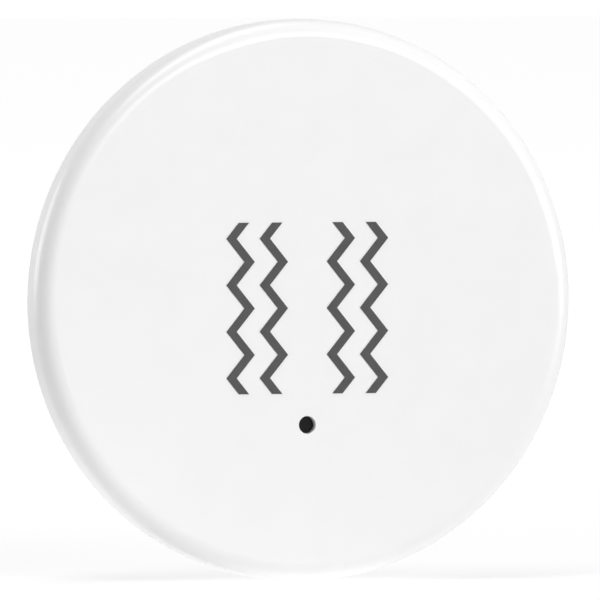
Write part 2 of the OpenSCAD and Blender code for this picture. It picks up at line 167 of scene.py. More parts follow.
def stretched(tree, scale):
    """The part's own coordinates, scaled along each axis."""
    place = add_node(tree, "ShaderNodeTexCoord")
    mapping = add_node(tree, "ShaderNodeMapping")
    mapping.inputs["Scale"].default_value = scale
    link(tree, place.outputs["Object"], mapping.inputs["Vector"])
    return mapping.outputs["Vector"]


def noise(tree, vector, size, detail=2.0):
    """Noise whose blotches have about this size."""
    made = add_node(tree, "ShaderNodeTexNoise", Scale=1 / (size * MM), Detail=detail)
    link(tree, vector, made.inputs["Vector"])
    return made.outputs["Fac"]


def mix_colours(tree, factor, first, second):
    """A mix of two colours, each a tuple or a node's output."""
    made = add_node(tree, "ShaderNodeMix", data_type="RGBA")
    link(tree, factor, made.inputs["Factor"])
    for socket, value in (("A", first), ("B", second)):
        target = [s for s in made.inputs if s.name == socket and s.type == "RGBA"][0]
        if isinstance(value, tuple):
            target.default_value = value
        else:
            link(tree, value, target)
    return [s for s in made.outputs if s.type == "RGBA"][0]


def remap(tree, value, low, high, start=0.3, end=0.7):
    """A value between two ends, those of noise unless they are given, mapped to a range."""
    made = add_node(tree, "ShaderNodeMapRange")
    made.inputs["From Min"].default_value = start
    made.inputs["From Max"].default_value = end
    made.inputs["To Min"].default_value = low
    made.inputs["To Max"].default_value = high
    link(tree, value, made.inputs["Value"])
    return made.outputs["Result"]


def bump(tree, height, depth, edge, shader):
    """A relief of this depth, over edges that catch the light as if rounded to a radius."""
    made = add_node(tree, "ShaderNodeBump", Distance=depth * MM, Strength=1.0)
    link(tree, height, made.inputs["Height"])
    if edge:
        rounded = add_node(tree, "ShaderNodeBevel", samples=6, Radius=edge * MM)
        link(tree, rounded.outputs["Normal"], made.inputs["Normal"])
    link(tree, made.outputs["Normal"], shader.inputs["Normal"])


def painted(name, colour, spread, blotch, **sockets):
    """A material whose colour varies by a spread, in blotches of a size."""
    made = bpy.data.materials.new(name)
    made.use_nodes = True
    tree = made.node_tree
    shader = tree.nodes["Principled BSDF"]
    tone = remap(tree, noise(tree, stretched(tree, (1, 1, 1)), blotch), 0, 1)
    paint = mix_colours(tree, tone, shade(colour, 1 - spread), shade(colour, 1 + spread))
    link(tree, paint, shader.inputs["Base Color"])
    for key, value in sockets.items():
        shader.inputs[key.replace("_", " ")].default_value = value
    return made, tree, shader, paint


def roughened(tree, shader, pattern, rough, depth, edge=0.0):
    """Roughness between two values and a relief of a depth from one pattern, and edges worn to a radius."""
    link(tree, remap(tree, pattern, *rough), shader.inputs["Roughness"])
    bump(tree, pattern, depth, edge, shader)


def finish_of(name, colour, spread, blotch, rough, grain, depth, lay=(1, 1, 1), edge=0.0, **sockets):
    """A painted material, roughened by a grain of a size that lay stretches."""
    made, tree, shader, paint = painted(name, colour, spread, blotch, **sockets)
    fine = noise(tree, stretched(tree, lay), grain, detail=3.0)
    roughened(tree, shader, fine, rough, depth, edge)
    return made, tree, shader, paint


def plain_finish(name, colour, **values):
    return finish_of(name, colour, **values)[0]


white_shell = plain_finish(
    "white_shell", (0.87, 0.87, 0.87),
    spread=0.006, blotch=3.0, rough=(0.28, 0.36), grain=0.12, depth=0.0012,
)
grey_print = plain_finish(
    "grey_print", (0.066, 0.066, 0.066),
    spread=0.08, blotch=0.5, rough=(0.5, 0.62), grain=0.08, depth=0.002, Specular_IOR_Level=0.3,
)
smoked_window = plain_finish(
    "smoked_window", (0.006, 0.006, 0.006),
    spread=0.1, blotch=0.4, rough=(0.16, 0.22), grain=0.1, depth=0.0004, Specular_IOR_Level=0.15,
)
silicone = plain_finish(
    "silicone", (0.45, 0.45, 0.45),
    spread=0.04, blotch=2.0, rough=(0.5, 0.62), grain=0.1, depth=0.003,
)
foam_tape = plain_finish(
    "foam_tape", (0.62, 0.62, 0.62),
    spread=0.03, blotch=0.35, rough=(0.75, 0.9), grain=0.12, depth=0.016,
)
screw_steel = plain_finish(
    "screw_steel", (0.55, 0.55, 0.54),
    spread=0.08, blotch=0.6, rough=(0.25, 0.4), grain=0.1, depth=0.001, edge=0.06, Metallic=1.0,
)
spring_nickel = plain_finish(
    "spring_nickel", (0.62, 0.6, 0.56),
    spread=0.03, blotch=1.5, rough=(0.25, 0.32), grain=0.05, depth=0.0003, lay=(0.04, 1, 1), edge=0.05,
    Metallic=1.0,
)
gold_plate = plain_finish(
    "gold_plate", (0.83, 0.6, 0.23),
    spread=0.05, blotch=0.8, rough=(0.2, 0.34), grain=0.1, depth=0.0008, edge=0.03, Metallic=1.0,
)
solder_tin = plain_finish(
    "solder_tin", (0.6, 0.6, 0.6),
    spread=0.06, blotch=0.3, rough=(0.22, 0.4), grain=0.15, depth=0.003, edge=0.04, Metallic=1.0,
)
chip_resin = plain_finish(
    "chip_resin", (0.02, 0.02, 0.02),
    spread=0.15, blotch=0.6, rough=(0.55, 0.7), grain=0.06, depth=0.002, edge=0.06,
)
black_resin = plain_finish(
    "black_resin", (0.015, 0.015, 0.015),
    spread=0.15, blotch=0.8, rough=(0.4, 0.52), grain=0.08, depth=0.0015, edge=0.06,
)
switch_button = plain_finish(
    "switch_button", (0.75, 0.73, 0.68),
    spread=0.03, blotch=0.7, rough=(0.38, 0.48), grain=0.08, depth=0.0015, edge=0.1,
)
white_ceramic = plain_finish(
    "white_ceramic", (0.75, 0.74, 0.7),
    spread=0.03, blotch=0.4, rough=(0.4, 0.55), grain=0.05, depth=0.002, edge=0.05,
)
tan_ceramic = plain_finish(
    "tan_ceramic", (0.4, 0.27, 0.15),
    spread=0.06, blotch=0.3, rough=(0.35, 0.5), grain=0.05, depth=0.002, edge=0.04,
)
tantalum_resin = plain_finish(
    "tantalum_resin", (0.65, 0.38, 0.04),
    spread=0.05, blotch=0.8, rough=(0.4, 0.5), grain=0.08, depth=0.0015, edge=0.08,
)
stripe_paint = plain_finish(
    "stripe_paint", (0.16, 0.06, 0.015),
    spread=0.08, blotch=0.4, rough=(0.45, 0.55), grain=0.08, depth=0.002,
)
ferrite = plain_finish(
    "ferrite", (0.05, 0.05, 0.055),
    spread=0.2, blotch=0.4, rough=(0.5, 0.65), grain=0.07, depth=0.004, edge=0.06,
)
silk_ink = plain_finish(
    "silk_ink", (0.78, 0.78, 0.75),
    spread=0.05, blotch=0.3, rough=(0.5, 0.65), grain=0.06, depth=0.002,
)
track_mask = plain_finish(
    "track_mask", (0.016, 0.15, 0.065),
    spread=0.08, blotch=1.0, rough=(0.25, 0.35), grain=0.1, depth=0.001, Coat_Weight=0.3,
)
lamp_resin = plain_finish(
    "lamp_resin", (0.55, 0.75, 0.5),
    spread=0.04, blotch=0.4, rough=(0.12, 0.2), grain=0.1, depth=0.0005, edge=0.05, Transmission_Weight=0.35,
)


def wall_facing(tree):
    """1 where a surface lies along the wall, and 0 where it stands square to it."""
    place = add_node(tree, "ShaderNodeTexCoord")
    parts = add_node(tree, "ShaderNodeSeparateXYZ")
    size = add_node(tree, "ShaderNodeMath", operation="ABSOLUTE")
    link(tree, place.outputs["Normal"], parts.inputs["Vector"])
    link(tree, parts.outputs["Y"], size.inputs[0])
    return size.outputs["Value"]


def make_cell_steel():
    """Nickel-plated steel with faint turned rings about the cell's axis, on its flat faces."""
    ring_size = 0.08
    made, tree, shader, _ = painted("cell_steel", (0.66, 0.66, 0.655), spread=0.03, blotch=2.5, Metallic=1.0)
    place = add_node(tree, "ShaderNodeTexCoord")
    axis = add_node(tree, "ShaderNodeVectorMath", operation="SUBTRACT")
    axis.inputs[1].default_value = point(*CELL_AT, 0)
    flat = add_node(tree, "ShaderNodeVectorMath", operation="MULTIPLY")
    flat.inputs[1].default_value = (1.0, 0.0, 1.0)
    radius = add_node(tree, "ShaderNodeVectorMath", operation="LENGTH")
    rings = add_node(
        tree, "ShaderNodeTexNoise", noise_dimensions="1D", Scale=1 / (ring_size * MM), Detail=2.0
    )
    lines = add_node(tree, "ShaderNodeMath", operation="MULTIPLY")
    link(tree, place.outputs["Object"], axis.inputs[0])
    link(tree, axis.outputs["Vector"], flat.inputs[0])
    link(tree, flat.outputs["Vector"], radius.inputs[0])
    link(tree, radius.outputs["Value"], rings.inputs["W"])
    link(tree, rings.outputs["Fac"], lines.inputs[0])
    link(tree, wall_facing(tree), lines.inputs[1])
    roughened(tree, shader, lines.outputs["Value"], rough=(0.2, 0.38), depth=0.0008, edge=0.04)
    return made


def make_board():
    """Green solder mask over a glass weave, with bare laminate on the edges."""
    mask_from = 0.5
    glass_size = 0.15
    dark_glass, pale_glass = (0.33, 0.3, 0.14, 1.0), (0.46, 0.42, 0.22, 1.0)
    made, tree, shader, paint = finish_of(
        "board_laminate", (0.01, 0.09, 0.04),
        spread=0.1, blotch=1.6, rough=(0.26, 0.36), grain=0.3, depth=0.0015, Coat_Weight=0.3,
    )
    edge = add_node(tree, "ShaderNodeMath", operation="LESS_THAN")
    edge.inputs[1].default_value = mask_from
    link(tree, wall_facing(tree), edge.inputs[0])
    glass = noise(tree, stretched(tree, (1, 1, 1)), glass_size)
    laminate = mix_colours(tree, glass, dark_glass, pale_glass)
    link(tree, mix_colours(tree, edge.outputs["Value"], paint, laminate), shader.inputs["Base Color"])
    return made


materials = {
    "white_shell": white_shell,
    "grey_print": grey_print,
    "smoked_window": smoked_window,
    "foam_tape": foam_tape,
    "silicone": silicone,
    "board_laminate": make_board(),
    "screw_steel": screw_steel,
    "cell_steel": make_cell_steel(),
    "spring_nickel": spring_nickel,
    "gold_plate": gold_plate,
    "solder_tin": solder_tin,
    "chip_resin": chip_resin,
    "black_resin": black_resin,
    "switch_button": switch_button,
    "lamp_resin": lamp_resin,
    "white_ceramic": white_ceramic,
    "tan_ceramic": tan_ceramic,
    "tantalum_resin": tantalum_resin,
    "ferrite": ferrite,
}

# Every carried-over node takes the material of its slot in the record
for part in frame["record"]["subparts"]:
    mesh = nodes[part["node"]].data
    mesh.materials.clear()
    mesh.materials.append(materials[part["material_slot"]])


# Pieces made here
def piece(name, shape, material, body):
    """A mesh piece that rides on a body, with the material it is given."""
    mesh = bpy.data.meshes.new(name)
    verts, faces = shape
    mesh.from_pydata([tuple(v) for v in verts], [], faces)
    tidy = bmesh.new()
    tidy.from_mesh(mesh)
    bmesh.ops.recalc_face_normals(tidy, faces=tidy.faces)
    tidy.to_mesh(mesh)
    tidy.free()
    mesh.materials.append(material)
    made = bpy.data.objects.new(name, mesh)
    scene.collection.objects.link(made)
    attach(made, body)
    return made


def smooth(made, degrees):
    """Smooth shading, with edges sharper than an angle left sharp."""
    mesh = made.data
    mesh.polygons.foreach_set("use_smooth", [True] * len(mesh.polygons))
    mesh.set_sharp_from_angle(angle=math.radians(degrees))


# Shapes, each a list of vertices and a list of faces
def band(rows, count, closed):
    """Faces between rows of count points that each go round a section, joined up or capped."""
    faces = []
    for i in range(rows if closed else rows - 1):
        here = i * count
        there = (i + 1) % rows * count
        for k in range(count):
            after = (k + 1) % count
            faces.append((here + k, here + after, there + after, there + k))
    if not closed:
        faces.append(tuple(range(count)))
        faces.append(tuple(range((rows - 1) * count, rows * count)))
    return faces


def turned(section, centre=(0.0, 0.0), start=0.0, sweep=360.0, step=6.0):
    """A closed section of (radius, height) turned about a place, all the way round or through an arc."""
    count = max(3, math.ceil(sweep / step))
    closed = sweep >= 360
    rows = count if closed else count + 1
    verts = []
    for i in range(rows):
        for radius, height in section:
            x, y = polar(radius, start + sweep * i / count)
            verts.append(point(centre[0] + x, centre[1] + y, height))
    return verts, band(rows, len(section), closed)


def flat_ring(inner, outer, low, high, *where, **turn):
    """A ring of square section about a place, or an arc of one."""
    return turned([(inner, low), (outer, low), (outer, high), (inner, high)], *where, **turn)


def ribbon(path, width, low, high):
    """A flat strip along a line of places, mitred at its bends."""
    flat = [Vector(place) for place in path]
    ways = [(b - a).normalized() for a, b in zip(flat, flat[1:])]
    verts = []
    for i, here in enumerate(flat):
        before = ways[max(i - 1, 0)]
        after = ways[min(i, len(ways) - 1)]
        across = (before + after).normalized().orthogonal()
        reach = width / 2 / across.dot(before.orthogonal())
        for step, height in ((-1, low), (1, low), (1, high), (-1, high)):
            spot = here + across * (step * reach)
            verts.append(point(spot.x, spot.y, height))
    return verts, band(len(flat), 4, False)


def prism(outline, low, high):
    """An outline of places raised between two heights."""
    verts = [point(x, y, height) for height in (low, high) for x, y in outline]
    return verts, band(2, len(outline), False)


def slab(x0, y0, x1, y1, low, high):
    return prism([(x0, y0), (x1, y0), (x1, y1), (x0, y1)], low, high)


def join(shapes):
    """Several shapes as one."""
    verts = []
    faces = []
    for more_verts, more_faces in shapes:
        start = len(verts)
        verts.extend(more_verts)
        faces.extend(tuple(start + i for i in face) for face in more_faces)
    return verts, faces


# Foam pad, a soft disc with a slightly bulged and uneven side
def make_foam_pad():
    pad = node_box("adhesive_pad")
    inset, lip, bulge = 0.1, 0.1, 0.09
    waves = ((0.012, 23, 0.0), (0.01, 41, 1.3))
    radius, thick = pad.x1 - inset, pad.h1
    steps, rows, rings = 192, 9, 7
    verts = []
    faces = []
    for i in range(steps):
        degrees = 360 * i / steps
        angle = math.radians(degrees)
        ripple = sum(size * math.sin(count * angle + shift) for size, count, shift in waves)
        for k in range(rows):
            share = k / (rows - 1)
            edge = math.sqrt(max(0.0, 1 - (2 * share - 1) ** 2))
            r = radius - lip + (lip + bulge + ripple * edge) * edge - bulge * (1 - edge)
            verts.append(point(*polar(min(r, pad.x1), degrees), thick * share))
    for i in range(steps):
        there = (i + 1) % steps
        for k in range(rows - 1):
            faces.append((i * rows + k, i * rows + k + 1, there * rows + k + 1, there * rows + k))
    for end in (0, rows - 1):
        rim = [i * rows + end for i in range(steps)]
        for ring in range(1, rings):
            start = len(verts)
            inner_r = (radius - lip - bulge) * (1 - ring / rings)
            for i in range(steps):
                verts.append(point(*polar(inner_r, 360 * i / steps), thick if end else 0.0))
            inner = [start + i for i in range(steps)]
            for i in range(steps):
                there = (i + 1) % steps
                faces.append((rim[i], rim[there], inner[there], inner[i]))
            rim = inner
        faces.append(tuple(rim))
    made = piece("foam_pad", (verts, faces), foam_tape, "case")
    smooth(made, degrees=50)
    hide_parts("adhesive_pad")


make_foam_pad()


# Gasket, a ring with a rounded top and bulged sides, in the space between the tongue and the cover
def make_gasket():
    space = node_box("cover_gasket")
    wide = 0.6
    half = wide / 2
    centre_r = space.x1 - half
    tall = (space.h1 - space.h0) / 2
    steps, power = 28, 0.45
    section = []
    for i in range(steps):
        c, s = polar(1.0, 360 * i / steps)
        section.append((
            centre_r + half * math.copysign(abs(c) ** power, c),
            space.h0 + tall + tall * math.copysign(abs(s) ** power, s),
        ))
    made = piece("gasket_ring", turned(section, step=2.0), silicone, "case")
    smooth(made, degrees=60)
    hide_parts("cover_gasket")


make_gasket()

# Printed circuit: copper under the mask, plated holes, solder and white legend lines
SINK = 0.02
BURIED = BOARD_TOP - SINK
COPPER_TOP = BOARD_TOP + 0.025
PLATE_TOP = BOARD_TOP + 0.035
INK_TOP = BOARD_TOP + 0.03
SOLDER_EDGE = 0.035
THIN, MEDIUM, WIDE = 0.18, 0.35, 0.6
LEADS_A_SIDE = 8
LEAD_PITCH = 0.5
CLIP_INSET = 0.6
TAB_WIDE = 1.1

radio = node_box("radio_leads")
accel = node_box("accelerometer")
lamp = node_box("lamp_base")
inductor = node_box("inductor")
bulk = node_box("bulk_capacitor")
clip = node_box("positive_clip")
antenna = node_box("chip_antenna")
main_crystal = node_box("main_crystal")
clock_crystal = node_box("clock_crystal")
switch = node_box("switch_base")
capacitors = solids("capacitors")
resistors = solids("resistors")
test_pads = solids("test_pads")
metal_ends = solids("component_ends")
radio_leads = solids("radio_leads")
screw_places = [middle(box) for box in solids("board_screws")]
switch_legs = [box for box in solids("switch_frame") if box.h1 < switch.h1]
left_legs = switch_legs[:2]
right_legs = switch_legs[2:]


def pin(name, index):
    """The outer end of one of the radio chip's leads."""
    return side(radio, name, along=(index - (LEADS_A_SIDE - 1) / 2) * LEAD_PITCH)


def dogleg(start, end, first):
    """A way between two places: straight along the first axis, at 45 degrees, then straight to the end."""
    across = end[0] - start[0]
    up = end[1] - start[1]
    slant = min(abs(across), abs(up))
    slant_x = math.copysign(slant, across)
    slant_y = math.copysign(slant, up)
    if first == "x":
        bends = [(end[0] - slant_x, start[1]), (end[0], start[1] + slant_y)]
    else:
        bends = [(start[0], end[1] - slant_y), (start[0] + slant_x, end[1])]
    path = [start]
    for place in bends + [end]:
        if math.dist(place, path[-1]) > WELD:
            path.append(place)
    return path


# Plated holes that end a track
holes = {
    "bulk": beyond(side(bulk, "bottom"), across=-0.8, up=-0.8),
    "capacitor_1": beyond(side(capacitors[1], "top"), up=0.8),
    "capacitor_2": beyond(side(capacitors[2], "top"), up=0.8),
    "resistor_1": beyond(side(resistors[1], "top"), up=0.9),
    "resistor_2": beyond(side(resistors[2], "top"), up=0.9),
    "test_pad": beyond(middle(test_pads[1]), across=-1.2),
    "main_crystal": beyond(side(main_crystal, "bottom"), across=-0.9, up=-0.5),
    "clock_crystal": beyond(side(clock_crystal, "right"), across=0.7, up=-0.6),
    "accel": beyond(side(accel, "top"), up=0.8),
}

# Each track's start and end, the axis it sets out along, and its width
tracks = [
    (pin("right", 0), side(main_crystal, "left"), "x", THIN),
    (pin("right", 1), side(main_crystal, "top", along=0.6), "x", THIN),
    (pin("right", 2), side(clock_crystal, "top", along=-1.0), "x", THIN),
    (pin("right", 3), side(clock_crystal, "top", along=1.0), "x", THIN),
    (pin("right", 4), side(left_legs[0], "left"), "x", THIN),
    (pin("right", 5), side(lamp, "left"), "x", THIN),
    (side(lamp, "right"), side(resistors[0], "bottom"), "y", THIN),
    (pin("bottom", 7), side(antenna, "left"), "y", MEDIUM),
    (pin("left", 7), (accel.x1, pin("left", 7)[1]), "x", THIN),
    (pin("left", 6), (accel.x1, pin("left", 6)[1]), "x", THIN),
    (pin("left", 3), side(accel, "bottom"), "x", THIN),
    (side(inductor, "bottom"), side(capacitors[0], "top"), "y", MEDIUM),
    ((clip.x0 + CLIP_INSET, clip.y0), side(inductor, "top"), "x", WIDE),
    ((clip.x1 - CLIP_INSET, clip.y0), side(bulk, "top"), "x", WIDE),
    (side(resistors[3], "top"), middle(test_pads[3]), "x", THIN),
    (side(right_legs[1], "right"), middle(test_pads[2]), "x", THIN),
    (side(right_legs[0], "right"), middle(test_pads[0]), "x", THIN),
    (side(bulk, "bottom", along=-0.4), holes["bulk"], "y", MEDIUM),
    (side(capacitors[1], "top"), holes["capacitor_1"], "y", THIN),
    (side(capacitors[2], "top"), holes["capacitor_2"], "y", THIN),
    (side(resistors[1], "top"), holes["resistor_1"], "y", THIN),
    (side(resistors[2], "top"), holes["resistor_2"], "y", THIN),
    (middle(test_pads[1]), holes["test_pad"], "x", THIN),
    (side(main_crystal, "bottom", along=-0.5), holes["main_crystal"], "y", THIN),
    (side(clock_crystal, "right"), holes["clock_crystal"], "x", THIN),
    (side(accel, "top"), holes["accel"], "y", THIN),
]

# The ground rim runs round the board's edge, but not under the antenna or the screws
RIM_INNER, RIM_OUTER = BOARD_R - 0.6, BOARD_R - 0.25
SCREW_CLEAR = 7.5
ANTENNA_WAY = 270.0
ANTENNA_CLEAR = 20.0
screw_ways = [math.degrees(math.atan2(y, x)) % 360 for x, y in screw_places]
rim_stops = sorted([(ANTENNA_WAY, ANTENNA_CLEAR)] + [(way, SCREW_CLEAR) for way in screw_ways])


def rim_arcs():
    """The start and the sweep of each stretch of the rim."""
    arcs = []
    for (way, clear), (next_way, next_clear) in zip(rim_stops, rim_stops[1:] + rim_stops[:1]):
        start = way + clear
        arcs.append((start, (next_way - next_clear - start) % 360))
    return arcs


def make_copper():
    shapes = [ribbon(dogleg(a, b, first), wide, BURIED, COPPER_TOP) for a, b, first, wide in tracks]
    for start, sweep in rim_arcs():
        shapes.append(flat_ring(
            RIM_INNER, RIM_OUTER, BURIED, COPPER_TOP, start=start, sweep=sweep, step=3.0
        ))
    piece("board_tracks", join(shapes), track_mask, "case")


def make_plated_holes():
    """The holes that end tracks, and smaller ones along the ground rim."""
    hole_r, land_r = 0.13, 0.3
    rim_hole_r, rim_land_r = 0.08, 0.15
    rim_r = (RIM_INNER + RIM_OUTER) / 2
    spacing = 14.0
    shapes = [flat_ring(hole_r, land_r, BURIED, PLATE_TOP, place, step=15.0) for place in holes.values()]
    for start, sweep in rim_arcs():
        count = round(sweep / spacing)
        for i in range(count):
            place = polar(rim_r, start + sweep * (i + 0.5) / count)
            shapes.append(flat_ring(rim_hole_r, rim_land_r, BURIED, PLATE_TOP, place, step=20.0))
    piece("plated_holes", join(shapes), gold_plate, "case")


def make_screw_lands():
    """Bare plated arcs beside the screw heads, on the side away from the board's edge."""
    inner, outer, sweep = 1.1, 1.65, 220.0
    shapes = []
    for place in screw_places:
        inward = math.degrees(math.atan2(-place[1], -place[0]))
        start = inward - sweep / 2
        shapes.append(flat_ring(inner, outer, BURIED, COPPER_TOP, place, start=start, sweep=sweep))
    piece("screw_lands", join(shapes), gold_plate, "case")


make_copper()
make_plated_holes()
make_screw_lands()

OUTWARD = {"left": (-1.0, 0.0), "right": (1.0, 0.0), "top": (0.0, 1.0), "bottom": (0.0, -1.0)}


def fillet(box, face, reach, tall, width=None):
    """Solder that climbs a side of a box and runs out over the board in a hollow curve. It is as long as the
    side unless a width is given, and smaller at its ends."""
    rows, steps = 7, 7
    fade, power = 0.45, 4
    quarter = math.pi / 2
    half = (width or side_length(box, face)) / 2
    out = Vector(OUTWARD[face])
    along = out.orthogonal()
    verts = []
    for i in range(rows):
        across = 2 * i / (rows - 1) - 1
        size = 1 - fade * across ** power
        foot = Vector(side(box, face)) + along * (across * half)
        for k in range(steps):
            turn = quarter * k / (steps - 1)
            spot = foot + out * (reach * size * (1 - math.cos(turn)))
            climb = SOLDER_EDGE + (tall - SOLDER_EDGE) * size * (1 - math.sin(turn))
            verts.append(point(spot.x, spot.y, BOARD_TOP + climb))
        verts.append(point(spot.x, spot.y, BURIED))
        verts.append(point(foot.x, foot.y, BURIED))
    return verts, band(rows, steps + 2, False)


def end_solder():
    """Solder at the metal ends of the antenna and the small components. The lower ends of those at the left
    have none, because they stand too close to the radio chip's leads."""
    antenna_end = {"reach": 0.3, "tall": 0.45}
    small_end = {"reach": 0.22, "tall": 0.36}
    shapes = []
    for box in metal_ends:
        if side_length(box, "left") > 2 * side_length(box, "top"):
            face = "left" if box.x0 < antenna.x0 else "right"
            shapes.append(fillet(box, face, **antenna_end))
        elif middle(box)[1] > middle(capacitors[0])[1]:
            shapes.append(fillet(box, "top", **small_end))
        elif box.x0 > 0:
            shapes.append(fillet(box, "bottom", **small_end))
    return shapes


def lead_solder():
    """Solder at the radio chip's leads, shorter at the upper ones, where the capacitors are close."""
    reach, short_reach, tall = 0.18, 0.07, 0.18
    shapes = []
    for box in radio_leads:
        across = middle(box)[0] - middle(radio)[0]
        rise = middle(box)[1] - middle(radio)[1]
        if abs(across) > abs(rise):
            face = "right" if across > 0 else "left"
        else:
            face = "top" if rise > 0 else "bottom"
        shapes.append(fillet(box, face, short_reach if face == "top" else reach, tall))
    return shapes


def make_solder():
    leg = {"reach": 0.3, "tall": 0.18}
    clip_foot = {"reach": 0.5, "tall": 0.22}
    large_end = {"reach": 0.4, "tall": 0.5}
    inductor_end = 1.6
    shapes = end_solder() + lead_solder()
    for legs, face in ((left_legs, "left"), (right_legs, "right")):
        shapes.extend(fillet(box, face, **leg) for box in legs)
    for face in ("left", "right"):
        shapes.append(fillet(clip, face, **clip_foot))
    for box, width in ((bulk, TAB_WIDE), (inductor, inductor_end)):
        for face in ("top", "bottom"):
            shapes.append(fillet(box, face, width=width, **large_end))
    made = piece("solder_joints", join(shapes), solder_tin, "case")
    smooth(made, degrees=40)


make_solder()


def make_legend():
    """White lines round the parts, a ring round the cell, dots at the first contacts and a plus sign."""
    line, arm, gap = 0.12, 0.7, 0.3
    dot_r, dot_sides, dot_out = 0.16, 12, 0.1
    ring_near, ring_far = 0.25, 0.4
    ring_arcs = ((22.0, 30.0), (50.0, 130.0), (150.0, 158.0), (202.0, 338.0))
    bar, long, plus_out = 0.09, 0.5, 1.5
    corner = [(0, 0), (arm, 0), (arm, line), (line, line), (line, arm), (0, arm)]
    dot = [polar(dot_r, 360 / dot_sides * i) for i in range(dot_sides)]
    plus = [
        (bar, bar), (bar, long), (-bar, long), (-bar, bar), (-long, bar), (-long, -bar),
        (-bar, -bar), (-bar, -long), (bar, -long), (bar, -bar), (long, -bar), (long, bar),
    ]
    shapes = []
    for box in (radio, accel, switch, bulk, inductor):
        for x, sx in ((box.x0 - gap, 1), (box.x1 + gap, -1)):
            for y, sy in ((box.y0 - gap, 1), (box.y1 + gap, -1)):
                shapes.append(prism([(x + sx * a, y + sy * b) for a, b in corner], BURIED, INK_TOP))
    for box in (radio, accel):
        place = beyond((box.x0, box.y1), across=-dot_out, up=dot_out)
        shapes.append(prism([beyond(place, *spot) for spot in dot], BURIED, INK_TOP))
    for start, end in ring_arcs:
        shapes.append(flat_ring(
            CELL_R + ring_near, CELL_R + ring_far, BURIED, INK_TOP, CELL_AT,
            start=start, sweep=end - start, step=3.0,
        ))
    place = beyond(side(clip, "right"), across=plus_out)
    shapes.append(prism([beyond(place, *spot) for spot in plus], BURIED, INK_TOP))
    piece("legend_lines", join(shapes), silk_ink, "case")


make_legend()


def make_capacitor_trim():
    """The bulk capacitor's metal tabs, and the paint in its polarity groove."""
    tab, half, tall = 0.08, TAB_WIDE / 2, 0.8
    x, _ = middle(bulk)
    tabs = [
        slab(x - half, bulk.y1 - SINK, x + half, bulk.y1 + tab, BOARD_TOP, BOARD_TOP + tall),
        slab(x - half, bulk.y0 - tab, x + half, bulk.y0 + SINK, BOARD_TOP, BOARD_TOP + tall),
    ]
    piece("capacitor_tabs", join(tabs), solder_tin, "case")
    groove, long, deep, paint = 0.3, 0.6, 0.04, 0.02
    floor = bulk.h1 - deep
    stripe = slab(
        bulk.x0 + SINK, bulk.y0 + groove + SINK, bulk.x1 - SINK, bulk.y0 + groove + long - SINK,
        floor - SINK, floor + paint,
    )
    piece("capacitor_stripe", stripe, stripe_paint, "case")


make_capacitor_trim()


def make_ejector_rings():
    """Faint raised rings that the mould's pins leave on the inside of the cover's face."""
    count, place_r, inner, outer, tall = 6, 12.5, 0.82, 0.95, 0.05
    ceiling = node_box("cover_gasket").h1
    shapes = []
    for i in range(count):
        place = polar(place_r, 360 * (i + 0.5) / count)
        shapes.append(flat_ring(inner, outer, ceiling - tall, ceiling + SINK, place, step=10.0))
    piece("ejector_rings", join(shapes), white_shell, "cover")


make_ejector_rings()


# Camera at the photograph's viewing angle
AZIMUTH = -18.0
ELEVATION = 1.5
LENS = 1200.0
SENSOR = 36.0
IMAGE = 600
PIXELS_PER_MM = 14.79
TARGET = Vector((0.0, -7.6 * MM, 0.0))

around = math.radians(AZIMUTH)
above = math.radians(ELEVATION)
back = Vector((
    math.sin(around) * math.cos(above),
    -math.cos(around) * math.cos(above),
    math.sin(above),
))
distance = IMAGE / PIXELS_PER_MM * MM * LENS / SENSOR
camera_data = bpy.data.cameras.new("camera")
camera_data.lens = LENS
camera_data.sensor_width = SENSOR
camera_data.clip_start = 0.01
camera_data.clip_end = 100.0
camera = bpy.data.objects.new("camera", camera_data)
camera.location = TARGET + back * distance
camera.rotation_mode = "QUATERNION"
camera.rotation_quaternion = (-back).to_track_quat("-Z", "Y")
scene.collection.objects.link(camera)
scene.camera = camera

# Light
WHITE = (1.0, 1.0, 1.0)


def softbox(name, direction, away, wide, high, level):
    """A flat lamp that adds about this level of light to a surface that faces it."""
    data = bpy.data.lights.new(name, "AREA")
    data.shape = "RECTANGLE"
    data.energy = level * 4 * math.pi * away ** 2
    data.size = wide
    data.size_y = high
    made = bpy.data.objects.new(name, data)
    towards = Vector(direction).normalized()
    made.location = TARGET + towards * away
    made.rotation_mode = "QUATERNION"
    made.rotation_quaternion = towards.to_track_quat("Z", "Y")
    made.visible_camera = False
    scene.collection.objects.link(made)


softbox("key", (0.8, -0.6, 0.03), away=1.6, wide=0.55, high=0.55, level=0.41)
softbox("kicker", (-0.75, 0.65, 0.06), away=0.9, wide=0.7, high=0.7, level=0.46)
softbox("overhead", (-0.17, -0.2, 1.0), away=0.8, wide=0.25, high=0.9, level=0.53)
softbox("front", (0.3, -0.9, 0.33), away=1.2, wide=0.9, high=0.2, level=0.332)


def seen_rays(tree):
    """1 for camera, glossy and transmission rays, and 0 for the rest."""
    path = add_node(tree, "ShaderNodeLightPath")
    first = add_node(tree, "ShaderNodeMath", operation="MAXIMUM")
    second = add_node(tree, "ShaderNodeMath", operation="MAXIMUM")
    link(tree, path.outputs["Is Camera Ray"], first.inputs[0])
    link(tree, path.outputs["Is Glossy Ray"], first.inputs[1])
    link(tree, first.outputs["Value"], second.inputs[0])
    link(tree, path.outputs["Is Transmission Ray"], second.inputs[1])
    return second.outputs["Value"]


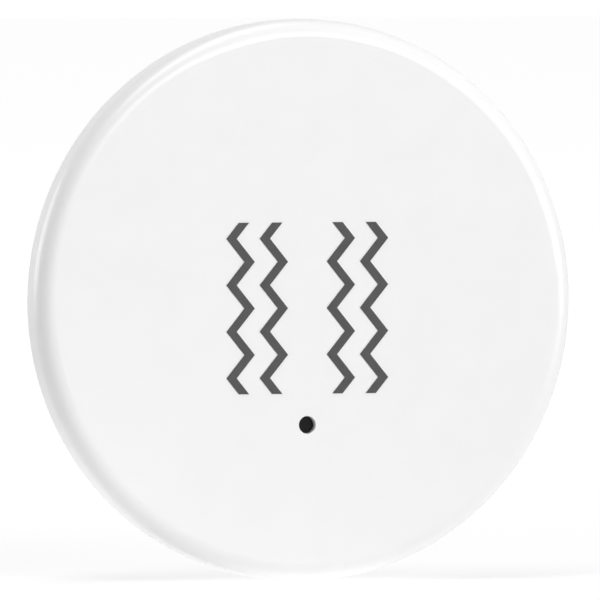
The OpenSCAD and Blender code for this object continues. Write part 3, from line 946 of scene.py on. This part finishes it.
def make_world():
    """White where it is seen, and a weak even dome where it lights."""
    dome = 0.03
    world = bpy.data.worlds.new("studio")
    scene.world = world
    world.use_nodes = True
    tree = world.node_tree
    tree.nodes.clear()
    out = add_node(tree, "ShaderNodeOutputWorld")
    choose = add_node(tree, "ShaderNodeMixShader")
    light = add_node(tree, "ShaderNodeBackground", Color=shade(WHITE, 1), Strength=dome)
    white = add_node(tree, "ShaderNodeBackground", Color=shade(WHITE, 1), Strength=1.0)
    link(tree, seen_rays(tree), choose.inputs["Fac"])
    link(tree, light.outputs["Background"], choose.inputs[1])
    link(tree, white.outputs["Background"], choose.inputs[2])
    link(tree, choose.outputs["Shader"], out.inputs["Surface"])


make_world()


def light_spot(tree, centre, scale, full, end, strong, weak):
    """Light that is strong near a place on the floor and weak past an end, in distances scaled along each
    axis."""
    away = add_node(tree, "ShaderNodeVectorMath", operation="DISTANCE")
    away.inputs[1].default_value = centre * scale
    link(tree, stretched(tree, scale), away.inputs[0])
    return remap(tree, away.outputs["Value"], strong, weak, full, end)


def table_light(tree):
    """The strength of the floor's light: a little all over, most along a slot below the tag and in a pool at
    its left."""
    slot_glow, table_glow, pool_glow = 0.65, 0.15, 0.5
    slot_centre = Vector((0.0, (cad_low.y + cad_high.y) / 2, 0.0))
    slot_scale = Vector((0.0, 1.0, 0.0))
    slot_half, slot_end = 4.2 * MM, 5.5 * MM
    pool_centre = Vector((-28.0, -12.0, 0.0)) * MM
    pool_scale = Vector((0.3, 0.6, 0.0))
    pool_half, pool_end = 3.0 * MM, 5.5 * MM
    both = add_node(tree, "ShaderNodeMath", operation="ADD")
    slot = light_spot(tree, slot_centre, slot_scale, slot_half, slot_end, slot_glow, table_glow)
    pool = light_spot(tree, pool_centre, pool_scale, pool_half, pool_end, pool_glow, 0.0)
    link(tree, slot, both.inputs[0])
    link(tree, pool, both.inputs[1])
    return both.outputs["Value"]


def floor_material():
    """A grey light table where it lights the tag. Where it is seen, it is white apart from the shadow near
    the tag."""
    bounce_level, shadow_level = 0.6, 0.3
    near, far = 0.05, 0.5
    near_glow, far_glow = 0.76, 0.97
    made = bpy.data.materials.new("floor")
    made.use_nodes = True
    tree = made.node_tree
    tree.nodes.clear()
    out = add_node(tree, "ShaderNodeOutputMaterial")
    choose = add_node(tree, "ShaderNodeMixShader")
    table = add_node(tree, "ShaderNodeAddShader")
    seen = add_node(tree, "ShaderNodeAddShader")
    bounce = add_node(tree, "ShaderNodeBsdfDiffuse", Color=shade(WHITE, bounce_level))
    lit = add_node(tree, "ShaderNodeEmission", Color=shade(WHITE, 1))
    shaded = add_node(tree, "ShaderNodeBsdfDiffuse", Color=shade(WHITE, shadow_level))
    glow = add_node(tree, "ShaderNodeEmission", Color=shade(WHITE, 1))
    place = add_node(tree, "ShaderNodeTexCoord")
    away = add_node(tree, "ShaderNodeVectorMath", operation="LENGTH")
    link(tree, place.outputs["Object"], away.inputs[0])
    link(tree, table_light(tree), lit.inputs["Strength"])
    link(tree, remap(tree, away.outputs["Value"], near_glow, far_glow, near, far), glow.inputs["Strength"])
    link(tree, seen_rays(tree), choose.inputs["Fac"])
    link(tree, bounce.outputs["BSDF"], table.inputs[0])
    link(tree, lit.outputs["Emission"], table.inputs[1])
    link(tree, table.outputs["Shader"], choose.inputs[1])
    link(tree, shaded.outputs["BSDF"], seen.inputs[0])
    link(tree, glow.outputs["Emission"], seen.inputs[1])
    link(tree, seen.outputs["Shader"], choose.inputs[2])
    link(tree, choose.outputs["Shader"], out.inputs["Surface"])
    return made


def make_floor():
    """A floor that touches the lowest point of the rim."""
    half = 3.0
    low = cad_low.z
    mesh = bpy.data.meshes.new("floor")
    corners = [(-half, -half, low), (half, -half, low), (half, half, low), (-half, half, low)]
    mesh.from_pydata(corners, [], [(0, 1, 2, 3)])
    mesh.materials.append(floor_material())
    floor = bpy.data.objects.new("floor", mesh)
    scene.collection.objects.link(floor)


make_floor()
scene.view_settings.view_transform = "Standard"

# Bring the scene's placements up to date
bpy.context.view_layer.update()
